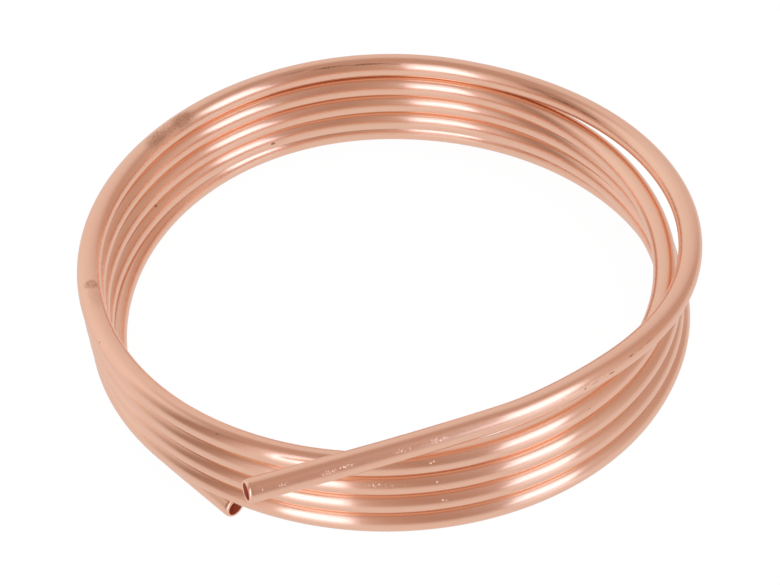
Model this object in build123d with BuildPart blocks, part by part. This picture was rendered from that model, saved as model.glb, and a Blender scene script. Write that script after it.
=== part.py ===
from build123d import *
from math import cos, radians, sin, sqrt
import os

os.makedirs("parts", exist_ok=True)

# Tube stock, mm.
TUBE_OD = 8.0
WALL = 0.6

# The cutter left both ends curled in toward their mouths.
CURL_LENGTH = 1.5
CURL_IN = 0.55
END_ROUND = 0.15

# Winding. Sizes are for the middle line of the tube, angles are degrees of travel
# along it, counted from where the lowest turn would close.
TURNS = 5
RING_RADIUS = 96.4
TURN_GAP = 0.13
START_ANGLE = 232.9
CLIMB_START = 210.0
SPANS_PER_TURN = 12

# The rings are a little oval, and each sits a little off the one below.
OVAL = 2.25
OVAL_AXIS = 39.0
LEAN_X = -1.1
LEAN_Y = 0.38

# The lowest turn stands out in two places and tucks in at its end.
LOW_BULGE = 5.3
LOW_BULGE_MIDDLE = 125.2
LOW_BULGE_REACH = 73.2
NEXT_BULGE = 3.3
NEXT_BULGE_MIDDLE = 199.8
NEXT_BULGE_REACH = 59.4
END_TUCK = 4.1
END_TUCK_REACH = 120.0

# Straight ends that the winding left on the tube, the upper one after a last slight bend.
LEAD_START = 10.9
LEAD_LENGTH = 28.7
TAIL_START = 360.0 * TURNS - 61.2
TAIL_SWEEP = 2.8
TAIL_SWEEP_LENGTH = 48.3
TAIL_LENGTH = 37.5
TAIL_RISE = 0.038

# The top turn springs out and lifts before its tail crosses the turns below.
SPRING = 8.4
SPRING_MIDDLE = TAIL_START - 74.1
SPRING_REACH = 64.5
LIFT = 4.1
LIFT_START = TAIL_START - 69.0
LIFT_REACH = 50.0
WAIST = 1.15
WAIST_MIDDLE = TAIL_START - 443.7
WAIST_REACH = 150.0


def ease(x):
    """Smooth step from 0 to 1."""
    x = min(max(x, 0.0), 1.0)
    return x * x * (3.0 - 2.0 * x)


def hump(travel, middle, reach):
    """Smooth bump of height 1 that is gone at the given reach on both sides."""
    return ease(1.0 - abs(travel - middle) / reach)


def radius(travel):
    r = RING_RADIUS + OVAL * cos(2.0 * radians(START_ANGLE - travel - OVAL_AXIS))
    r += LOW_BULGE * hump(travel, LOW_BULGE_MIDDLE, LOW_BULGE_REACH)
    r += NEXT_BULGE * hump(travel, NEXT_BULGE_MIDDLE, NEXT_BULGE_REACH)
    r -= END_TUCK * hump(travel, 0.0, END_TUCK_REACH)
    r -= WAIST * hump(travel, WAIST_MIDDLE, WAIST_REACH)
    return r + SPRING * hump(travel, SPRING_MIDDLE, SPRING_REACH)


def height(travel):
    """Flat on the floor at first, then each turn climbs over its last stretch."""
    turn, rest = divmod(travel, 360.0)
    climb = ease((rest - CLIMB_START) / (360.0 - CLIMB_START))
    lift = LIFT * ease((travel - LIFT_START) / LIFT_REACH)
    return TUBE_OD / 2.0 + (TUBE_OD + TURN_GAP) * (turn + climb) + lift


def place(travel):
    angle = radians(START_ANGLE - travel)
    r = radius(travel)
    turns_up = travel / 360.0 - TURNS / 2.0
    x = r * cos(angle) + LEAN_X * turns_up
    y = r * sin(angle) + LEAN_Y * turns_up
    return Vector(x, y, height(travel))


def heading(travel):
    return (place(travel + 0.01) - place(travel - 0.01)).normalized()


def tilted(way, rise):
    """The level part of a direction, with the given rise put on it."""
    level = Vector(way.X, way.Y, 0.0).normalized()
    return (level + Vector(0.0, 0.0, rise)).normalized()


def two_arcs(start, start_way, end, end_way):
    """Joins two points by two arcs that are tangent to both ways and to each other."""
    chord = end - start
    ways = start_way + end_way
    a = 2.0 * (1.0 - start_way.dot(end_way))
    b = 2.0 * chord.dot(ways)
    c = chord.dot(chord)
    reach = (sqrt(b * b + 4.0 * a * c) - b) / (2.0 * a)
    corner = start + start_way * reach
    joint = (corner + end - end_way * reach) * 0.5
    TangentArc(start, joint, tangent=start_way)
    TangentArc(joint, end, tangent=joint - corner)


def swept_tail(start, way):
    """Where the slight bend of the tail ends, and its direction there."""
    level = Vector(way.X, way.Y, 0.0).normalized()
    inward = Vector(level.Y, -level.X, 0.0)
    bend = radians(TAIL_SWEEP)
    turned = level * cos(bend) + inward * sin(bend)
    run = (level * sin(bend) + inward * (1.0 - cos(bend))) * (TAIL_SWEEP_LENGTH / bend)
    return start + run + Vector(0.0, 0.0, TAIL_RISE * TAIL_SWEEP_LENGTH), tilted(turned, TAIL_RISE)


def tube_route():
    """Straight lead, the turns, the tail, up to where the ends curl in."""
    step = 360.0 / SPANS_PER_TURN
    stops = [LEAD_START]
    stops += [n * step for n in range(1, TURNS * SPANS_PER_TURN) if LEAD_START < n * step < TAIL_START]
    stops.append(TAIL_START)
    ways = [heading(stop) for stop in stops]
    ways[0] = tilted(ways[0], 0.0)
    ways[-1] = tilted(ways[-1], TAIL_RISE)
    points = [place(stop) for stop in stops]
    tail_point, tail_way = swept_tail(points[-1], ways[-1])
    points.append(tail_point)
    ways.append(tail_way)
    with BuildLine() as route:
        Line(points[0] - ways[0] * (LEAD_LENGTH - CURL_LENGTH), points[0])
        for n in range(len(points) - 1):
            two_arcs(points[n], ways[n], points[n + 1], ways[n + 1])
        Line(points[-1], points[-1] + ways[-1] * (TAIL_LENGTH - CURL_LENGTH))
    return route.line


def curled_lip(root, way):
    """The last of the tube, which narrows from its full size to its cut face."""
    outside = TUBE_OD / 2.0
    inside = outside - WALL
    with BuildPart() as lip:
        with BuildSketch(Plane(root, x_dir=way, z_dir=way.cross(Vector(0.0, 0.0, 1.0)))):
            with BuildLine():
                outer = TangentArc((0.0, outside), (CURL_LENGTH, outside - CURL_IN), tangent=(1.0, 0.0))
                inner = TangentArc((0.0, inside), (CURL_LENGTH, inside - CURL_IN), tangent=(1.0, 0.0))
                Line(outer @ 0, inner @ 0)
                Line(outer @ 1, inner @ 1)
            make_face()
        revolve(axis=Axis(root, way))
        cut_face = lip.faces().filter_by(GeomType.PLANE).sort_by(Axis(root, way))[-1]
        fillet(cut_face.outer_wire().edges(), END_ROUND)
    return lip.part


def make_tube_coil():
    line = tube_route()
    with BuildPart() as coil:
        with BuildLine():
            add(line)
        with BuildSketch(Plane(line @ 0, z_dir=line % 0)):
            Circle(TUBE_OD / 2.0)
            Circle(TUBE_OD / 2.0 - WALL, mode=Mode.SUBTRACT)
        sweep(is_frenet=False)
        add(curled_lip(line @ 0, (line % 0) * -1.0))
        add(curled_lip(line @ 1, line % 1))
    return coil


tube_coil = make_tube_coil()
footprint = tube_coil.part.bounding_box().center()
tube_coil.part = tube_coil.part.moved(Location((-footprint.X, -footprint.Y, 0)))
tube_coil.part.label = "tube_coil"
export_step(tube_coil.part, "parts/tube_coil.step")
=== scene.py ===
import math
import bpy
import numpy as np
from mathutils import Matrix, Vector


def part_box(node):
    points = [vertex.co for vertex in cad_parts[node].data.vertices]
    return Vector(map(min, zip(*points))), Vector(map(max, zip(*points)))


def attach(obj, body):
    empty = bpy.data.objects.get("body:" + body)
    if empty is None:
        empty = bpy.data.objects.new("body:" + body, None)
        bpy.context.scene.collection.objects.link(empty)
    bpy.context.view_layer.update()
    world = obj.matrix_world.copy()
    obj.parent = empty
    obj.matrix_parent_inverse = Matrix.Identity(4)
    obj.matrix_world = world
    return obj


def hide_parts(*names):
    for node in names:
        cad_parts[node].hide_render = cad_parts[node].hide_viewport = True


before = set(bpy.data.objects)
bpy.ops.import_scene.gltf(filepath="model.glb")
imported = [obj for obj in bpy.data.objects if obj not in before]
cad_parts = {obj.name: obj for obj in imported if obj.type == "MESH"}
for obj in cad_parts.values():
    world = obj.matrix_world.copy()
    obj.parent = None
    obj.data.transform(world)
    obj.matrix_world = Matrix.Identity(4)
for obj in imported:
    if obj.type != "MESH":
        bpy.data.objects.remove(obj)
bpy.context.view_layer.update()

# Tube and winding, in millimetres and degrees of travel, as in the CAD source. Most of
# the route's numbers were fitted by a program to the turns' edges in the photograph.
TUBE_R = 4.0
WALL = 0.6
TURNS = 5
RING_RADIUS = 96.4
PITCH = 8.13
START_ANGLE = 232.9
CLIMB_START = 210.0
OVAL = 2.25
OVAL_AXIS = 39.0
LEAN = (-1.1, 0.38)
LEAD_START = 10.9
LEAD_LENGTH = 28.7
TAIL_START = 360.0 * TURNS - 61.2
TAIL_SWEEP = 2.8
TAIL_SWEEP_LENGTH = 48.3
TAIL_LENGTH = 37.5
TAIL_RISE = 0.038
LIFT = 4.1
LIFT_START = TAIL_START - 69.0
LIFT_REACH = 50.0
# Where the winding swells out or pulls in: height, middle, reach. The swell of the
# second turn at 475 is in this mesh only.
RADIUS_HUMPS = (
    (5.3, 125.2, 73.2),
    (3.3, 199.8, 59.4),
    (1.4, 475.0, 50.0),
    (-4.1, 0.0, 120.0),
    (-1.15, TAIL_START - 443.7, 150.0),
    (8.4, TAIL_START - 74.1, 64.5),
)
# Profile of a cut end, from the outside over the face to the inside:
# distance back from the face, radius.
END_PROFILE = (
    (1.8, 4.0), (1.45, 3.99), (1.1, 3.95), (0.8, 3.88), (0.5, 3.78), (0.25, 3.65),
    (0.09, 3.52), (0.01, 3.36), (0.0, 3.14), (0.03, 2.95), (0.12, 2.86), (0.3, 2.84),
    (0.6, 2.93), (0.9, 3.07), (1.3, 3.24), (1.7, 3.35), (2.2, 3.4),
)

# Fineness of the mesh: points around a ring, and millimetres along the tube.
AROUND = 48
LINE_STEP = 0.25
RING_STEP = 3.0
BORE_STEP = 9.0
# Points of the middle line before it is stepped evenly.
LEAD_POINTS = 60
TURNS_POINTS = 9000
SWEEP_POINTS = 100
TAIL_POINTS = 161
# Angles of a ring's points, up from the outermost line of the winding.
RING_ANGLES = np.linspace(0.0, 2.0 * math.pi, AROUND, endpoint=False)

# Camera, measured from the middle of the winding on the floor.
CAM_ELEVATION = 44.35
CAM_DISTANCE = 1.1767
CAM_TARGET_Z = 0.020
CAM_FOCAL_PX = 3475.0
CAM_TARGET_PX = (384.66, 288.55)
IMAGE_SIZE = (780, 585)
SENSOR_WIDTH = 36.0
CAM_CLIP = (0.05, 50.0)


def ease(x):
    """Smooth step from 0 to 1."""
    x = np.clip(x, 0.0, 1.0)
    return x * x * (3.0 - 2.0 * x)


def unit(v):
    return v / np.linalg.norm(v, axis=-1, keepdims=True)


def level(v):
    """Unit direction of the level part of a vector."""
    return unit(v * np.array([1.0, 1.0, 0.0]))


def turns_line(travel):
    """Middle line of the turns at some degrees of travel, from the middle of the winding."""
    angle = np.radians(START_ANGLE - travel)
    r = RING_RADIUS + OVAL * np.cos(2.0 * (angle - math.radians(OVAL_AXIS)))
    for height, middle, reach in RADIUS_HUMPS:
        r = r + height * ease(1.0 - np.abs(travel - middle) / reach)
    turn, rest = np.divmod(travel, 360.0)
    climb = ease((rest - CLIMB_START) / (360.0 - CLIMB_START))
    lift = LIFT * ease((travel - LIFT_START) / LIFT_REACH)
    turns_up = travel / 360.0 - TURNS / 2.0
    x = r * np.cos(angle) + LEAN[0] * turns_up
    y = r * np.sin(angle) + LEAN[1] * turns_up
    z = TUBE_R + PITCH * (turn + climb) + lift
    return np.stack([x, y, z], -1)


def tube_route():
    """Middle line of the whole tube: straight lead, turns, slight bend, straight tail."""
    turns = turns_line(np.linspace(LEAD_START, TAIL_START, TURNS_POINTS))
    lead_way = level(turns[1] - turns[0])
    lead_left = np.linspace(LEAD_LENGTH, 0.0, LEAD_POINTS, endpoint=False)[:, None]
    lead = turns[0] - lead_way * lead_left

    way = level(turns[-1] - turns[-2])
    side = np.array([way[1], -way[0], 0.0])
    rise = np.array([0.0, 0.0, TAIL_RISE])
    bend = math.radians(TAIL_SWEEP)
    bend_radius = TAIL_SWEEP_LENGTH / bend
    turned = np.linspace(0.0, bend, SWEEP_POINTS)[1:, None]
    sweep = turns[-1] + bend_radius * (way * np.sin(turned) + side * (1.0 - np.cos(turned)) + rise * turned)

    tail_way = unit(way * math.cos(bend) + side * math.sin(bend) + rise)
    tail = sweep[-1] + tail_way * np.linspace(0.0, TAIL_LENGTH, TAIL_POINTS)[1:, None]
    return np.concatenate([lead, turns, sweep, tail])


def evenly(points, step):
    """The line through the points again with an even step, and the distance at each point."""
    at = np.concatenate([[0.0], np.cumsum(np.linalg.norm(np.diff(points, axis=0), axis=1))])
    even = np.linspace(0.0, at[-1], int(round(at[-1] / step)) + 1)
    return between(even, at, points), even


def between(stops, at, values):
    """Values read off between the points of a line."""
    return np.stack([np.interp(stops, at, values[:, axis]) for axis in range(3)], -1)


def stretch(length, trim, step):
    """Even distances along the tube that leave out the trim at both ends."""
    return np.linspace(trim, length - trim, int(round((length - 2.0 * trim) / step)) + 1)


def ring_stops(length):
    """The rings of the tube's closed skin: outside, over one end, bore, over the other.

    Gives the distance along the tube, the radius, and 1 for each ring in the bore.
    """
    mouth = min(radius for _, radius in END_PROFILE)
    narrowest = [radius for _, radius in END_PROFILE].index(mouth)
    lip = [(back, radius, n > narrowest) for n, (back, radius) in enumerate(END_PROFILE)][1:]
    outside = stretch(length, END_PROFILE[0][0], RING_STEP)
    bore = stretch(length, END_PROFILE[-1][0], BORE_STEP)[-2:0:-1]
    rings = [(at, TUBE_R, False) for at in outside]
    rings += [(length - back, radius, inner) for back, radius, inner in lip]
    rings += [(at, TUBE_R - WALL, True) for at in bore]
    rings += reversed(lip)
    return np.array(rings, float).T


def build_tube():
    """Corner points and faces of the tube's skin, with the ring distances, radii and bore marks."""
    line, at = evenly(tube_route(), LINE_STEP)
    way = unit(np.gradient(line, axis=0))
    out = unit(np.cross([0.0, 0.0, 1.0], way))
    up = np.cross(way, out)
    along, radii, in_bore = ring_stops(at[-1])
    centre = between(along, at, line)[:, None]
    out = unit(between(along, at, out))[:, None]
    up = unit(between(along, at, up))[:, None]
    angle = RING_ANGLES[None, :, None]
    points = centre + radii[:, None, None] * (np.cos(angle) * out + np.sin(angle) * up)

    corner = np.arange(len(along) * AROUND).reshape(-1, AROUND)
    beside = np.roll(corner, -1, axis=1)
    faces = np.stack([corner, beside, np.roll(beside, -1, axis=0), np.roll(corner, -1, axis=0)], -1)
    return points.reshape(-1, 3), faces.reshape(-1, 4), along, radii, in_bore


def mesh_object(name, points, faces):
    mesh = bpy.data.meshes.new(name)
    mesh.from_pydata(points.tolist(), [], faces.tolist())
    mesh.update()
    mesh.polygons.foreach_set("use_smooth", [True] * len(mesh.polygons))
    obj = bpy.data.objects.new(name, mesh)
    bpy.context.scene.collection.objects.link(obj)
    return obj


def add_uv(mesh, name, u0, u1, v0, v1):
    """One rectangle of the map for each face."""
    corners = np.stack([u0, v0, u0, v1, u1, v1, u1, v0], -1)
    layer = mesh.uv_layers.new(name=name)
    layer.uv.foreach_set("vector", corners.astype(np.float32).ravel())


def add_run_uv(mesh, along):
    """Metres along the tube in u, and once around it in v."""
    ring, place = np.divmod(np.arange(len(along) * AROUND), AROUND)
    metres = along / 1000.0
    ends = metres[(ring + 1) % len(along)]
    add_uv(mesh, "tube_run", metres[ring], ends, place / AROUND, (place + 1) / AROUND)


def add_folded_uv(mesh, radii):
    """The skin cut into rows that fill the unit square, the bore's rows at the top."""
    outer_rows, bore_rows, bore_share = 11, 3, 0.1
    side_margin, row_margin = 0.004, 0.03
    ring, place = np.divmod(np.arange(len(radii) * AROUND), AROUND)
    lip_radius = TUBE_R - 0.3
    outer = int(np.argmax(radii < lip_radius))
    inner = ring >= outer
    outer_per_row = math.ceil(outer / outer_rows)
    bore_per_row = math.ceil((len(radii) - outer) / bore_rows)
    per_row = np.where(inner, bore_per_row, outer_per_row)
    row, column = np.divmod(np.where(inner, ring - outer, ring), per_row)
    tall = np.where(inner, bore_share / bore_rows, (1.0 - bore_share) / outer_rows)
    base = np.where(inner, 1.0 - bore_share, 0.0) + row * tall
    u = side_margin + (1.0 - 2.0 * side_margin) * np.array([column, column + 1]) / per_row
    v = base + tall * (row_margin + (1.0 - 2.0 * row_margin) * np.array([place, place + 1]) / AROUND)
    add_uv(mesh, "OFBake", *u, *v)


def add_straight_place(mesh, along, in_bore):
    """Each point's place on the straightened tube, and whether it lies in the bore."""
    angle = np.tile(RING_ANGLES, len(along))
    place = np.stack([np.repeat(along, AROUND), TUBE_R * np.cos(angle), TUBE_R * np.sin(angle)], -1)
    layer = mesh.attributes.new("straight", "FLOAT_VECTOR", "POINT")
    layer.data.foreach_set("vector", place.astype(np.float32).ravel())
    layer = mesh.attributes.new("inside", "FLOAT", "POINT")
    layer.data.foreach_set("value", np.repeat(in_bore, AROUND).astype(np.float32))


points, faces, along, radii, in_bore = build_tube()
foot = (points.min(0) + points.max(0)) / 2.0 * np.array([1.0, 1.0, 0.0])
cad_low, cad_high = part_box("tube_coil")
cad_foot = np.array((cad_low + cad_high) / 2.0) * np.array([1.0, 1.0, 0.0])
winding_middle = cad_foot - foot / 1000.0

tube = mesh_object("copper_tube", points / 1000.0 + winding_middle, faces)
add_folded_uv(tube.data, radii)
add_run_uv(tube.data, along)
add_straight_place(tube.data, along, in_bore)
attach(tube, "root")
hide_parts("tube_coil")


class Nodes:
    """Short way of adding nodes to one material or world."""

    def __init__(self, tree):
        self.tree = tree
        tree.nodes.clear()

    def fill(self, node, inputs):
        """Links or sets inputs, given by name or number."""
        for key, value in inputs.items():
            if isinstance(value, bpy.types.NodeSocket):
                self.tree.links.new(value, node.inputs[key])
            else:
                node.inputs[key].default_value = value
        return node

    def add(self, kind, inputs=None, **settings):
        node = self.tree.nodes.new(kind)
        for name, value in settings.items():
            setattr(node, name, value)
        return self.fill(node, inputs or {})

    def math(self, operation, *values, clamp=False):
        node = self.add("ShaderNodeMath", dict(enumerate(values)), operation=operation, use_clamp=clamp)
        return node.outputs[0]

    def vector(self, operation, *values):
        node = self.add("ShaderNodeVectorMath", dict(enumerate(values)), operation=operation)
        return node.outputs["Vector"]

    def length(self, vector):
        return self.add("ShaderNodeVectorMath", {0: vector}, operation="LENGTH").outputs["Value"]

    def smooth(self, value, low, high, start=0.0, end=1.0):
        inputs = {"Value": value, "From Min": low, "From Max": high, "To Min": start, "To Max": end}
        return self.add("ShaderNodeMapRange", inputs, interpolation_type="SMOOTHSTEP").outputs["Result"]

    def noise(self, place, scale, detail, rough):
        inputs = {"Vector": place, "Scale": scale, "Detail": detail, "Roughness": rough}
        return self.add("ShaderNodeTexNoise", inputs).outputs

    def blend(self, share, first, second):
        node = self.add("ShaderNodeMix", data_type="RGBA")
        return self.fill(node, {0: share, 6: first, 7: second}).outputs[2]


def new_material(name):
    mat = bpy.data.materials.new(name)
    mat.use_nodes = True
    return mat, Nodes(mat.node_tree)


# Marks on the tube: millimetres along it, degrees up from its outermost line, half
# length, half width, strength. Stains are soft and brown, streaks thin and speckled,
# specks small and dark. Dents and scuffs only shape the relief. Most of their places
# were worked out by a program from where the marks are in the photograph.
STAINS = (
    (2588.5, 108.0, 7.5, 3.6, 0.9),
    (2601.0, 113.0, 8.0, 4.2, 1.0),
    (2595.0, 110.0, 13.0, 3.4, 0.6),
    (2510.8, 100.0, 3.0, 3.4, 0.95),
    (2505.5, 104.0, 8.0, 3.0, 0.3),
)
STREAKS = (
    (2648.5, 118.5, 7.0, 0.35, 0.5),
    (2661.5, 127.0, 9.0, 0.4, 0.9),
    (2675.5, 131.5, 9.0, 0.4, 1.0),
    (2684.5, 134.0, 4.5, 0.35, 0.7),
    (2738.0, 138.0, 8.0, 0.35, 0.6),
    (2750.0, 146.5, 10.0, 0.45, 0.8),
    (2762.0, 148.0, 7.0, 0.45, 0.7),
)
SPECKS = (
    (2922.7, 14.3, 0.6, 0.42, 1.0),
    (2911.2, 14.9, 1.6, 0.32, 1.0),
    (2918.5, 15.5, 2.4, 0.18, 0.6),
    (2901.7, 33.0, 1.6, 0.27, 0.9),
    (2897.0, 33.5, 2.5, 0.15, 0.5),
    (2892.4, 34.3, 3.0, 0.18, 0.6),
    (2304.1, 25.7, 0.4, 0.3, 0.6),
    (1697.6, 56.7, 0.4, 0.3, 0.5),
    (2931.5, 16.3, 0.4, 0.25, 0.5),
    (2428.8, 49.1, 0.7, 0.3, 0.6),
    (763.3, 115.7, 0.9, 0.55, 0.9),
    (819.3, 172.0, 1.3, 0.7, 1.0),
    (2485.4, 37.0, 0.5, 0.35, 0.7),
    (2859.5, 38.7, 0.5, 0.35, 0.6),
)
DENTS = (
    (2361.0, 35.7, 0.32, 0.55, 1.0),
    (2359.9, 41.6, 0.28, 0.5, 0.8),
    (1756.8, 35.3, 0.35, 0.5, 1.0),
    (1754.5, 38.0, 0.5, 0.25, 0.6),
    (1149.8, 34.2, 0.35, 0.6, 1.0),
    (1148.7, 30.5, 0.3, 0.4, 0.8),
    (1776.6, 36.2, 0.3, 0.4, 0.6),
    (1775.0, 39.7, 0.3, 0.35, 0.6),
    (1771.5, 32.1, 0.3, 0.3, 0.5),
    (1767.0, 35.4, 0.25, 0.3, 0.4),
    (2974.9, 33.9, 0.4, 0.4, 0.7),
    (2973.7, 42.5, 0.3, 0.35, 0.6),
    (2987.9, 37.6, 0.8, 0.3, 0.5),
    (3004.8, 36.8, 0.6, 0.35, 1.6),
    (3006.9, 36.0, 0.9, 0.45, 2.2),
    (3011.4, 33.5, 0.5, 0.4, 1.3),
    (3013.6, 29.3, 0.4, 0.35, 1.1),
    (3034.7, 37.3, 0.3, 0.35, 0.9),
    (3027.5, 32.8, 0.4, 0.3, 0.7),
    (3029.0, 34.0, 0.3, 0.3, 0.6),
)
SCUFFS = (
    (3006.6, 36.0, 4.0, 0.8, 1.0),
    (3012.3, 31.0, 4.0, 1.3, 1.0),
    (3028.0, 33.0, 4.0, 1.0, 0.6),
    (2976.0, 36.0, 7.0, 1.3, 0.5),
    (2988.0, 37.0, 4.0, 1.1, 0.5),
    (1773.0, 36.0, 8.0, 1.3, 0.5),
    (1756.0, 36.0, 4.0, 1.3, 0.5),
    (2360.0, 38.0, 3.0, 1.3, 0.5),
    (2915.0, 22.0, 14.0, 0.8, 0.5),
)
# A mark is at full strength up to this share of its half sizes.
MARK_CORE = 0.35

# Grain of the metal: factor on the distance along the tube, scale per millimetre,
# detail and roughness of the noise.
GRAIN = {
    "drawing lines": (0.02, 3.2, 4.0, 0.65),
    "fine lines": (0.05, 9.0, 3.0, 0.6),
    "tint": (0.3, 0.12, 3.0, 0.6),
    "mottle": (1.0, 0.9, 4.0, 0.7),
    "speckle": (0.5, 2.6, 3.0, 0.7),
    "scuff": (0.7, 1.5, 2.0, 0.6),
    "wander": (1.0, 0.8, 3.0, 0.5),
}
STAIN_WANDER = 1.6
# Steps laid on the grain: noise value at the start and end, amount at the start and end.
GRAIN_STEPS = {
    "stain": (0.36, 0.6, 0.25, 1.0),
    "streak": (0.35, 0.6, 0.2, 1.0),
    "scuff": (0.5, 0.66, 0.0, 1.0),
    "pale": (0.3, 0.7, 0.0, 1.0),
    "worn patches": (0.62, 0.78, 0.0, 0.2),
    "worn lines": (0.52, 0.72, 0.0, 0.2),
    "rough lines": (0.3, 0.7, 0.175, 0.23),
    "rough patches": (0.5, 0.8, 0.0, 0.06),
}

COPPER = (0.97, 0.65, 0.48, 1.0)
COPPER_PALE = (0.955, 0.67, 0.50, 1.0)
COPPER_WORN = (0.80, 0.50, 0.36, 1.0)
STAIN_COLOR = (0.45, 0.22, 0.12, 1.0)
DIRT_COLOR = (0.2, 0.09, 0.05, 1.0)
# Colour of the bore: partly its duller, oxidised metal, partly painted reflection, its deep red standing in
# for the copper mirroring itself down the bore.
BORE_OXIDE_AND_REFLECTION = (0.85, 0.25, 0.12, 1.0)
STAIN_COVER = 0.75
DIRT_COVER = 0.8
STAIN_ROUGHER = 0.25
BORE_ROUGHER = 0.2
BORE_METAL = 0.15
ANISOTROPY = 0.75
SPREAD_AROUND = 0.25

# Relief, in hundredths of a millimetre.
RELIEF_UNIT = 0.00001
LINE_HEIGHT = 0.12
DENT_DEPTH = 6.0
SCUFF_DEPTH = 5.0


def marked(nodes, place, marks):
    """How strongly each place on the straightened tube carries one of the marks."""
    total = None
    for along_tube, angle, half_length, half_width, strength in marks:
        a = math.radians(angle)
        centre = (along_tube, TUBE_R * math.cos(a), TUBE_R * math.sin(a))
        inverse = (1.0 / half_length, 1.0 / half_width, 1.0 / half_width)
        offset = tuple(-c * i for c, i in zip(centre, inverse))
        reach = nodes.length(nodes.vector("MULTIPLY_ADD", place, inverse, offset))
        mark = nodes.smooth(reach, MARK_CORE, 1.0, strength, 0.0)
        total = mark if total is None else nodes.math("MAXIMUM", total, mark)
    return total


def copper_material():
    """Drawn copper tube with its stains, specks and dents, and a redder, duller bore whose red is partly
    painted reflection.
    """
    mat, nodes = new_material("copper")
    place = nodes.add("ShaderNodeAttribute", attribute_name="straight").outputs["Vector"]
    inside = nodes.add("ShaderNodeAttribute", attribute_name="inside").outputs["Fac"]
    noise = {}
    for name, (drawn, scale, detail, rough) in GRAIN.items():
        noise[name] = nodes.noise(nodes.vector("MULTIPLY", place, (drawn, 1.0, 1.0)), scale, detail, rough)
    grain = {name: outputs["Fac"] for name, outputs in noise.items()}

    # Stains have wandering edges.
    shift = nodes.vector("SUBTRACT", noise["wander"]["Color"], (0.5, 0.5, 0.5))
    shifted = nodes.vector("MULTIPLY_ADD", shift, (STAIN_WANDER, STAIN_WANDER, STAIN_WANDER), place)
    patches = nodes.smooth(grain["speckle"], *GRAIN_STEPS["stain"])
    stain = nodes.math("MULTIPLY", marked(nodes, shifted, STAINS), patches)
    dashes = nodes.smooth(grain["speckle"], *GRAIN_STEPS["streak"])
    streak = nodes.math("MULTIPLY", marked(nodes, place, STREAKS), dashes)
    dirt = nodes.math("MAXIMUM", marked(nodes, place, SPECKS), streak)
    dent = marked(nodes, place, DENTS)
    pits = nodes.smooth(grain["scuff"], *GRAIN_STEPS["scuff"])
    scuff = nodes.math("MULTIPLY", marked(nodes, place, SCUFFS), pits)

    color = nodes.blend(nodes.smooth(grain["tint"], *GRAIN_STEPS["pale"]), COPPER, COPPER_PALE)
    worn = nodes.smooth(grain["mottle"], *GRAIN_STEPS["worn patches"])
    worn = nodes.math("ADD", worn, nodes.smooth(grain["fine lines"], *GRAIN_STEPS["worn lines"]))
    color = nodes.blend(worn, color, COPPER_WORN)
    color = nodes.blend(nodes.math("MULTIPLY", stain, STAIN_COVER), color, STAIN_COLOR)
    color = nodes.blend(nodes.math("MULTIPLY", dirt, DIRT_COVER), color, DIRT_COLOR)
    # The bore gets its oxide colour with a painted reflection: deep red for the copper mirroring itself
    # inside.
    color = nodes.blend(inside, color, BORE_OXIDE_AND_REFLECTION)

    rough = nodes.smooth(grain["fine lines"], *GRAIN_STEPS["rough lines"])
    rough = nodes.math("ADD", rough, nodes.smooth(grain["mottle"], *GRAIN_STEPS["rough patches"]))
    rough = nodes.math("MULTIPLY_ADD", stain, STAIN_ROUGHER, rough)
    rough = nodes.math("MULTIPLY_ADD", inside, BORE_ROUGHER, rough, clamp=True)
    metal = nodes.math("MULTIPLY_ADD", inside, BORE_METAL - 1.0, 1.0)

    relief = nodes.math("MULTIPLY", grain["drawing lines"], LINE_HEIGHT)
    relief = nodes.math("MULTIPLY_ADD", dent, -DENT_DEPTH, relief)
    relief = nodes.math("MULTIPLY_ADD", scuff, -SCUFF_DEPTH, relief)
    bump_inputs = {"Strength": 1.0, "Distance": RELIEF_UNIT, "Height": relief}
    bump = nodes.add("ShaderNodeBump", bump_inputs).outputs[0]

    # Highlights spread around the tube, across its drawing lines.
    tangent = nodes.add("ShaderNodeTangent", direction_type="UV_MAP", uv_map="tube_run").outputs[0]
    shader = nodes.add("ShaderNodeBsdfPrincipled", {
        "Base Color": color, "Roughness": rough, "Metallic": metal, "Normal": bump,
        "Tangent": tangent, "Anisotropic": ANISOTROPY, "Anisotropic Rotation": SPREAD_AROUND,
    })
    nodes.add("ShaderNodeOutputMaterial", {0: shader.outputs[0]})
    return mat


tube.data.materials.append(copper_material())

WHITE = (1.0, 1.0, 1.0, 1.0)
FLOOR_HALF = 3.0
FLOOR_SPECK_SCALE = 40.0
FLOOR_WHITE = (0.9, 0.9, 0.9, 1.0)
FLOOR_WHITER = (0.92, 0.92, 0.92, 1.0)
FLOOR_GLOW = 1.03
FLOOR_GLOW_SHARE = 0.93
FLOOR_IN_METAL = (0.81, 0.715, 0.71, 1.0)
FLOOR_GLOSS_ROUGH = 0.15
FLOOR_IOR = 1.5


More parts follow.
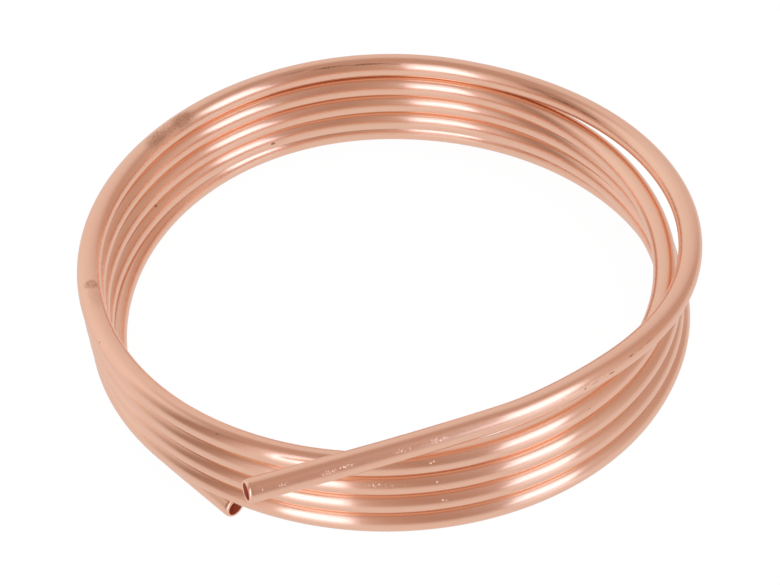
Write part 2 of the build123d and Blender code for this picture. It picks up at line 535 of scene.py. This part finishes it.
def floor_material():
    """White and slightly glossy; it shows as plain white to the camera and keeps a faint shadow."""
    mat, nodes = new_material("floor")
    place = nodes.add("ShaderNodeTexCoord").outputs["Object"]
    speck = nodes.noise(place, FLOOR_SPECK_SCALE, 2.0, 0.5)["Fac"]
    white = nodes.blend(speck, FLOOR_WHITE, FLOOR_WHITER)
    diffuse = nodes.add("ShaderNodeBsdfDiffuse", {"Color": white}).outputs[0]
    glow = nodes.add("ShaderNodeEmission", {"Color": WHITE, "Strength": FLOOR_GLOW}).outputs[0]
    paper = nodes.add("ShaderNodeEmission", {"Color": FLOOR_IN_METAL, "Strength": 1.0}).outputs[0]
    gloss = nodes.add("ShaderNodeBsdfGlossy", {"Color": WHITE, "Roughness": FLOOR_GLOSS_ROUGH}).outputs[0]
    sheen = nodes.add("ShaderNodeFresnel", {"IOR": FLOOR_IOR}).outputs[0]
    path = nodes.add("ShaderNodeLightPath").outputs
    mirrored = nodes.math("MAXIMUM", path["Is Glossy Ray"], path["Is Transmission Ray"])
    in_metal = nodes.add("ShaderNodeMixShader", {0: sheen, 1: paper, 2: gloss}).outputs[0]
    in_camera = nodes.add("ShaderNodeMixShader", {0: FLOOR_GLOW_SHARE, 1: diffuse, 2: glow}).outputs[0]
    by_camera = {0: path["Is Camera Ray"], 1: diffuse, 2: in_camera}
    direct = nodes.add("ShaderNodeMixShader", by_camera).outputs[0]
    surface = nodes.add("ShaderNodeMixShader", {0: mirrored, 1: direct, 2: in_metal}).outputs[0]
    nodes.add("ShaderNodeOutputMaterial", {0: surface})
    return mat


floor_corners = np.array([(-1.0, -1.0, 0.0), (1.0, -1.0, 0.0), (1.0, 1.0, 0.0), (-1.0, 1.0, 0.0)])
floor = mesh_object("floor", FLOOR_HALF * floor_corners, np.array([(0, 1, 2, 3)]))
floor.data.materials.append(floor_material())


def make_camera():
    """Looks at the middle of the winding from the photograph's side and height."""
    data = bpy.data.cameras.new("camera")
    data.sensor_width = SENSOR_WIDTH
    data.lens = CAM_FOCAL_PX * SENSOR_WIDTH / IMAGE_SIZE[0]
    data.clip_start, data.clip_end = CAM_CLIP
    camera = bpy.data.objects.new("camera", data)
    bpy.context.scene.collection.objects.link(camera)
    elevation = math.radians(CAM_ELEVATION)
    back = Vector((0.0, -math.cos(elevation), math.sin(elevation)))
    right = Vector((1.0, 0.0, 0.0))
    up = back.cross(right)
    per_px = CAM_DISTANCE / CAM_FOCAL_PX
    target = Vector((winding_middle[0], winding_middle[1], CAM_TARGET_Z))
    target += right * (IMAGE_SIZE[0] / 2.0 - CAM_TARGET_PX[0]) * per_px
    target += up * (CAM_TARGET_PX[1] - IMAGE_SIZE[1] / 2.0) * per_px
    camera.location = target + back * CAM_DISTANCE
    camera.rotation_euler = (math.pi / 2.0 - elevation, 0.0, 0.0)
    bpy.context.scene.camera = camera


make_camera()

# Room around the coil as the tube mirrors it: azimuth in degrees from +X, colour at low
# elevation. The colours come from measured ones: a program followed the photograph's
# colours on the tube back through its reflections.
ROOM = (
    (-180.0, (0.82, 0.71, 0.69)), (-170.0, (0.67, 0.54, 0.50)), (-157.0, (0.36, 0.23, 0.19)),
    (-142.0, (0.46, 0.30, 0.25)), (-128.0, (0.77, 0.62, 0.60)), (-98.0, (0.67, 0.51, 0.47)),
    (-85.0, (0.55, 0.39, 0.33)), (-67.0, (0.46, 0.30, 0.25)), (-50.0, (0.52, 0.36, 0.32)),
    (-8.0, (0.69, 0.54, 0.51)), (8.0, (0.61, 0.44, 0.39)), (23.0, (0.56, 0.40, 0.34)),
    (38.0, (0.57, 0.40, 0.35)), (56.0, (0.71, 0.58, 0.57)), (85.0, (0.77, 0.66, 0.65)),
    (128.0, (0.82, 0.72, 0.71)), (158.0, (0.88, 0.78, 0.78)),
)
CEILING = (0.52, 0.363, 0.313, 1.0)
CEILING_RISE = (0.78, 0.94)
ROOM_ON_FLOOR = (0.85, 0.85, 0.85, 1.0)


def room_world():
    """Warm room that the metal mirrors; white to the camera, plain grey light for the floor."""
    world = bpy.data.worlds.new("world")
    world.use_nodes = True
    nodes = Nodes(world.node_tree)
    way = nodes.add("ShaderNodeTexCoord").outputs["Generated"]
    parts = nodes.add("ShaderNodeSeparateXYZ", {0: way}).outputs
    turn = nodes.math("ARCTAN2", parts["Y"], parts["X"])
    turn = nodes.math("MULTIPLY_ADD", turn, 1.0 / (2.0 * math.pi), 0.5)
    ramp = nodes.add("ShaderNodeValToRGB", {0: turn})
    stops = ramp.color_ramp.elements
    while len(stops) < len(ROOM):
        stops.new(0.5)
    for stop, (azimuth, _) in zip(stops, ROOM):
        stop.position = azimuth / 360.0 + 0.5
    for stop, (_, color) in zip(stops, ROOM):
        stop.color = color + (1.0,)
    color = nodes.blend(nodes.smooth(parts["Z"], *CEILING_RISE), ramp.outputs[0], CEILING)
    path = nodes.add("ShaderNodeLightPath").outputs
    color = nodes.blend(path["Is Diffuse Ray"], color, ROOM_ON_FLOOR)
    color = nodes.blend(path["Is Camera Ray"], color, WHITE)
    back = nodes.add("ShaderNodeBackground", {"Color": color, "Strength": 1.0})
    nodes.add("ShaderNodeOutputWorld", {0: back.outputs[0]})
    bpy.context.scene.world = world


# Daylight windows: azimuth, distance, width, heights of the lower and upper end, lean.
# Each window is two lamps of unlike height, so that it fades out upward.
DAYLIGHT = (0.62, 0.755, 1.0)
WINDOW_RADIANCE = 0.83
WINDOWS = {
    "lamp_left": (-109.0, 2.2, 0.92, 0.02, 1.75, 0.0),
    "lamp_left_tall": (-108.0, 2.25, 1.0, 0.02, 3.6, 0.0),
    "lamp_right": (-27.5, 2.2, 0.9, 0.3, 1.95, -19.0),
    "lamp_right_tall": (-26.5, 2.25, 0.92, 0.0, 2.9, -19.0),
}


def window_lamp(name, azimuth, distance, width, low, high, lean):
    """Upright soft lamp that faces the coil, leaned in its own plane."""
    data = bpy.data.lights.new(name, "AREA")
    data.shape = "RECTANGLE"
    data.size = width
    data.size_y = high - low
    data.energy = WINDOW_RADIANCE * math.pi * data.size * data.size_y
    data.color = DAYLIGHT
    lamp = bpy.data.objects.new(name, data)
    bpy.context.scene.collection.objects.link(lamp)
    a = math.radians(azimuth)
    lamp.location = (distance * math.cos(a), distance * math.sin(a), (low + high) / 2.0)
    facing = Matrix.Rotation(a + math.pi / 2.0, 4, "Z") @ Matrix.Rotation(math.pi / 2.0, 4, "X")
    leaned = facing @ Matrix.Rotation(math.radians(lean), 4, "Z")
    lamp.rotation_euler = leaned.to_euler()


room_world()
for name, sizes in WINDOWS.items():
    window_lamp(name, *sizes)
bpy.context.scene.view_settings.view_transform = "Standard"
